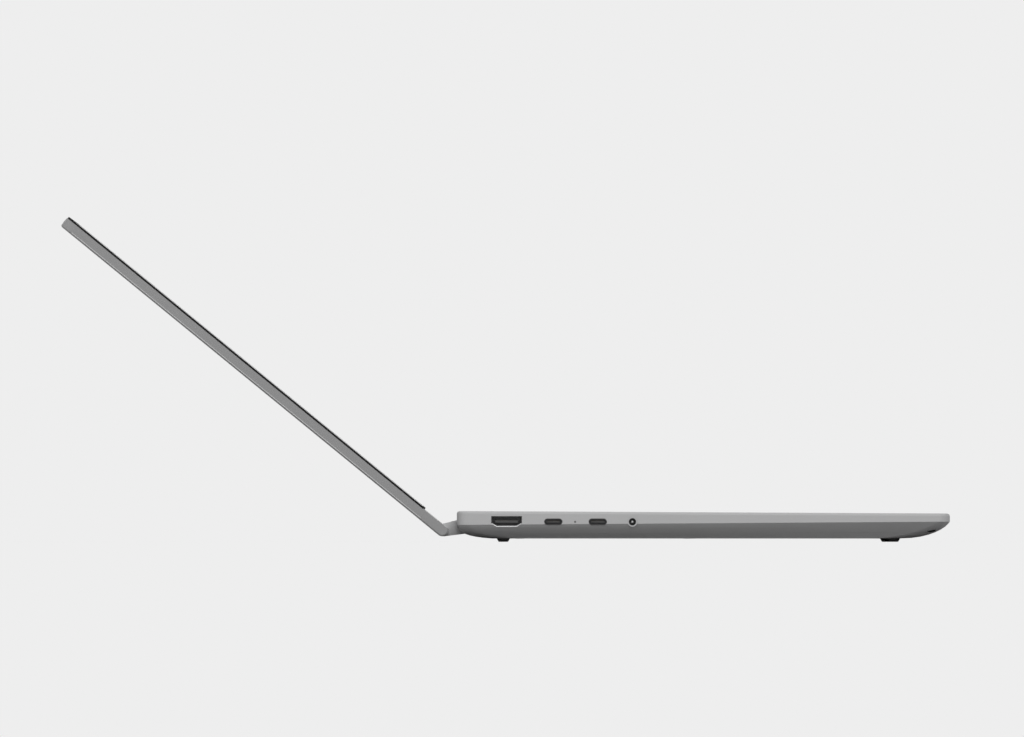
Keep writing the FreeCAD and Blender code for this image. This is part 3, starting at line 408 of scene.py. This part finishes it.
def contacts(name, node, count, spread, z, depth):
    """A row of gold fingers on one socket's tongue."""
    low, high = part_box(node)
    middle = (low[1] + high[1]) / 2
    mouth = low[0] if low[0] < 0 else high[0]
    inward = 1 if low[0] < 0 else -1
    near, far = sorted((mouth + inward * CONTACT_START, mouth + inward * depth))
    points = []
    faces = []
    for index in range(count):
        y = middle + (index / (count - 1) - 0.5) * spread
        add_block(points, faces, (near, y - CONTACT_HALF, z), (far, y + CONTACT_HALF, z + CONTACT_THICK))
    piece(name, points, faces, "base", gold)


for name, node, count, spread, z, depth in CONTACT_ROWS:
    contacts(name, node, count, spread * MM, z * MM, depth * MM)
print("contact rows", len(CONTACT_ROWS))

# %% [markdown]
# The widest mouth shows a bright rim along its lower edge. It is a narrow bevel that lies a little way inside
# the wall and leans inwards, painted light grey as a highlight. Its sizes are in millimetres from the middle of
# the mouth.

# %% Painted highlight rim of the widest mouth
WALL_X = -178.0
MOUTH_Y = -1.4
MOUTH_Z = 9.98
MOUTH_HALF = 7.5
MOUTH_FOOT = 5.0
MOUTH_LOW = -2.58
MOUTH_SHOULDER = -0.85
RIM_GROW = 0.02
RIM_WIDTH = 0.45
RIM_DEPTH = 1.0
RIM_LEAN = 0.3


def mouth_lower_edge(x, grow):
    """Four points along the lower edge of the wide mouth, moved outwards by a distance."""
    half = MOUTH_HALF + grow
    foot = MOUTH_FOOT + grow / 2
    low = MOUTH_LOW - grow
    edge = ((-half, MOUTH_SHOULDER), (-foot, low), (foot, low), (half, MOUTH_SHOULDER))
    return [Vector((x, MOUTH_Y + y, MOUTH_Z + z)) * MM for y, z in edge]


def lower_rim_highlight(name):
    """A bevel along the lower edge of the wide mouth, painted bright as a highlight."""
    points = mouth_lower_edge(WALL_X + RIM_DEPTH + RIM_LEAN, RIM_GROW - RIM_WIDTH)
    points += mouth_lower_edge(WALL_X + RIM_DEPTH, RIM_GROW)
    faces = [(i, i + 1, 5 + i, 4 + i) for i in range(3)]
    piece(name, points, faces, "base", painted_highlight_edge)


lower_rim_highlight("hdmi_rim_highlight")
print("rim depth", RIM_DEPTH)

# %% [markdown]
# The round jack is a dark hole with a bright point in it: a sleeve that lines the bore and closes its end,
# painted shade, and a small square block in front of that end, a painted glint.

# %% Audio jack
JACK_SIDES = 24
BORE_RADIUS = 1.78 * MM
BORE_START = 0.25 * MM
BORE_END = 3.0 * MM
SPRING_HALF = 0.4 * MM
jack_low, jack_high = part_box("audio_jack")
jack_x = jack_low[0]
jack_y = (jack_low[1] + jack_high[1]) / 2
jack_z = (jack_low[2] + jack_high[2]) / 2


def jack_shade_sleeve(name):
    """A dark tube with a closed end, painted shade inside the bore."""
    points = []
    for depth in (BORE_START, BORE_END):
        for across, along in circle(JACK_SIDES, BORE_RADIUS):
            points.append(Vector((jack_x + depth, jack_y + across, jack_z + along)))
    faces = []
    for side in range(JACK_SIDES):
        following = (side + 1) % JACK_SIDES
        faces.append((side, following, JACK_SIDES + following, JACK_SIDES + side))
    faces.append(tuple(range(JACK_SIDES, 2 * JACK_SIDES)))
    piece(name, points, faces, "base", black_plastic)


def jack_glint_block(name):
    """A small bright block at the end of the bore, a painted glint."""
    points = []
    faces = []
    low = (jack_x + BORE_END - SPRING_HALF, jack_y - SPRING_HALF, jack_z - SPRING_HALF)
    high = (jack_x + BORE_END, jack_y + SPRING_HALF, jack_z + SPRING_HALF)
    add_block(points, faces, low, high)
    piece(name, points, faces, "base", painted_highlight_edge)


jack_shade_sleeve("audio_shade_sleeve")
jack_glint_block("audio_glint_block")
print("audio jack at", round(jack_y, 4))

# %% [markdown]
# Seven small screws hold the bottom cover. They are too small for solids of their own, so each is a low steel
# head with a dark cross of painted shade for its recess, drawn just below the flat bottom.

# %% Bottom screws
SCREW_PLACES = ((156, -8), (-156, -8), (156, -92), (-156, -92), (88, -190), (-88, -190), (0, -1))
SCREW_RADIUS = 2.2 * MM
SCREW_SIDES = 20
HEAD_SUNK = 0.05 * MM
HEAD_PROUD = 0.06 * MM
RECESS_LONG = 1.2 * MM
RECESS_SHORT = 0.25 * MM
RECESS_PROUD = 0.08 * MM
bottom_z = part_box("bottom_cover")[0][2]


def screw_head(name, x, y):
    """A flat round head."""
    points = []
    for level in (bottom_z + HEAD_SUNK, bottom_z - HEAD_PROUD):
        for across, along in circle(SCREW_SIDES, SCREW_RADIUS):
            points.append(Vector((x + across, y + along, level)))
    faces = []
    for side in range(SCREW_SIDES):
        following = (side + 1) % SCREW_SIDES
        faces.append((side, SCREW_SIDES + side, SCREW_SIDES + following, following))
    faces.append(tuple(range(SCREW_SIDES, 2 * SCREW_SIDES)))
    piece(name, points, faces, "base", steel)


def screw_recess_shade(name, x, y):
    """Two crossed dark bars on a screw's head, painted shade for its recess."""
    points = []
    faces = []
    for half_x, half_y in ((RECESS_LONG, RECESS_SHORT), (RECESS_SHORT, RECESS_LONG)):
        low = (x - half_x, y - half_y, bottom_z - RECESS_PROUD)
        high = (x + half_x, y + half_y, bottom_z)
        add_block(points, faces, low, high)
    piece(name, points, faces, "base", black_plastic)


for index, (x, y) in enumerate(SCREW_PLACES):
    name = "bottom_screw_" + str(index)
    screw_head(name, x * MM, y * MM)
    screw_recess_shade(name + "_recess", x * MM, y * MM)
print("screws", len(SCREW_PLACES))

# %% [markdown]
# The stage is a plain pale floor in a pale grey room. The photo shows the same grey everywhere, so the world
# gives that grey to camera, glossy and transmission rays, and a gentler light to the object itself. The floor
# does the same: it looks pale, but throws little light back up, because the photo's undercut is dark.

# %% Floor and world
FLOOR_HALF = 4.0
FLOOR_DROP = 0.02 * MM
FLOOR_SEEN = 0.68
BACKDROP = 0.855
AMBIENT = 0.30


def plain(level):
    """A grey as shader inputs take it."""
    return (level, level, level, 1)


def seen_directly(tree):
    """One for camera, glossy and transmission rays, zero for the rays that only carry light."""
    rays = tree.nodes.new("ShaderNodeLightPath")
    sharp = tree.nodes.new("ShaderNodeMath")
    sharp.operation = "MAXIMUM"
    every = tree.nodes.new("ShaderNodeMath")
    every.operation = "MAXIMUM"
    tree.links.new(rays.outputs["Is Camera Ray"], sharp.inputs[0])
    tree.links.new(rays.outputs["Is Glossy Ray"], sharp.inputs[1])
    tree.links.new(sharp.outputs[0], every.inputs[0])
    tree.links.new(rays.outputs["Is Transmission Ray"], every.inputs[1])
    return every.outputs[0]


def split_by_ray(tree, for_light, for_eye, end):
    """Give one shader to rays that only carry light, and another to rays that show the surface."""
    mix = tree.nodes.new("ShaderNodeMixShader")
    tree.links.new(seen_directly(tree), mix.inputs["Fac"])
    tree.links.new(for_light.outputs[0], mix.inputs[1])
    tree.links.new(for_eye.outputs[0], mix.inputs[2])
    tree.links.new(mix.outputs[0], tree.nodes[end].inputs["Surface"])


def floor_finish():
    """A matt floor that looks pale and lights the object only a little."""
    material = finish("pale_floor", grey(0.14), 0.005, 0.9, grain=400, bump=0.0)
    tree = material.node_tree
    pale = tree.nodes.new("ShaderNodeBsdfDiffuse")
    pale.inputs["Color"].default_value = plain(FLOOR_SEEN)
    split_by_ray(tree, tree.nodes["Principled BSDF"], pale, "Material Output")
    return material


def pale_room():
    """A world that looks pale and lights the object gently."""
    world = bpy.data.worlds.new("pale_room")
    world.use_nodes = True
    tree = world.node_tree
    seen = tree.nodes["Background"]
    seen.inputs["Color"].default_value = plain(BACKDROP)
    soft = tree.nodes.new("ShaderNodeBackground")
    soft.inputs["Color"].default_value = plain(AMBIENT)
    split_by_ray(tree, soft, seen, "World Output")
    return world


FLOOR_CORNERS = ((-FLOOR_HALF, -FLOOR_HALF), (FLOOR_HALF, -FLOOR_HALF), (FLOOR_HALF, FLOOR_HALF),
                 (-FLOOR_HALF, FLOOR_HALF))
floor_mesh = bpy.data.meshes.new("floor")
floor_mesh.from_pydata([(x, y, -FLOOR_DROP) for x, y in FLOOR_CORNERS], [], [(0, 1, 2, 3)])
floor_mesh.materials.append(floor_finish())
floor = bpy.data.objects.new("floor", floor_mesh)
bpy.context.scene.collection.objects.link(floor)
bpy.context.scene.world = pale_room()
print("floor half", FLOOR_HALF)

# %% [markdown]
# Soft lamps do the rest: a key on the camera's side, one behind for the rounded corners, and a fill from
# above and from the far side. Small bare lamps would give hard streaks that the photo does not have. The
# lamps' mirror images are hidden, or the dark screen would turn grey wherever it reflects one.

# %% Lamps
LAMP_TARGET = Vector((0, 0, 0.06))
# Each lamp gives its place and width in metres and its power in watts.
LAMPS = (
    ("side_key", (-2.2, -0.5, 1.0), 1.6, 41),
    ("rear_key", (-1.2, 2.2, 0.5), 0.8, 16),
    ("top_fill", (0.3, -0.2, 2.4), 2.0, 20),
    ("far_fill", (2.2, 0.6, 1.2), 1.6, 18),
)


def lamp(name, place, width, power):
    """A square soft box that faces the computer."""
    light = bpy.data.lights.new(name, "AREA")
    light.size = width
    light.energy = power
    made = bpy.data.objects.new(name, light)
    made.location = place
    made.visible_glossy = False
    made.rotation_euler = (LAMP_TARGET - Vector(place)).to_track_quat("-Z", "Y").to_euler()
    bpy.context.scene.collection.objects.link(made)


for name, place, width, power in LAMPS:
    lamp(name, place, width, power)
print("lamps", len(LAMPS))

# %% [markdown]
# The photo looks square onto the left side from far away, with its eye at the height of the table, so deck
# and floor are both seen edge-on. A long lens gives that flat look. From so far off, tipping the camera up by
# a third of a degree puts the computer in the frame without bending its upright lines.
# The scale is exact in a plane between the near wall and the middle, so neither end of the depth drifts far.

# %% Camera
PIXELS_PER_MM = 2.03
IMAGE_WIDTH = 1024
IMAGE_HEIGHT = 737
ORIGIN_PIXEL_X = 503.75
FLOOR_PIXEL_Y = 541.8
EYE_HEIGHT = 0.0
LENS = 1150.0
SENSOR = 36.0
TRUE_SCALE_X = -100.0 * MM
CLIP_DISTANCES = 4
frame_width = IMAGE_WIDTH / PIXELS_PER_MM * MM
distance = frame_width * LENS / SENSOR
centre_y = -(IMAGE_WIDTH / 2 - ORIGIN_PIXEL_X) / PIXELS_PER_MM * MM
centre_z = (FLOOR_PIXEL_Y - IMAGE_HEIGHT / 2) / PIXELS_PER_MM * MM
camera_data = bpy.data.cameras.new("camera")
camera_data.lens = LENS
camera_data.sensor_width = SENSOR
camera_data.clip_end = distance * CLIP_DISTANCES
camera = bpy.data.objects.new("camera", camera_data)
camera.location = (TRUE_SCALE_X - distance, centre_y, EYE_HEIGHT)
aim = Vector((TRUE_SCALE_X, centre_y, centre_z)) - camera.location
camera.rotation_euler = aim.to_track_quat("-Z", "Y").to_euler()
bpy.context.scene.collection.objects.link(camera)
bpy.context.scene.camera = camera
bpy.context.scene.view_settings.view_transform = "Standard"
print("camera distance", round(distance, 2))
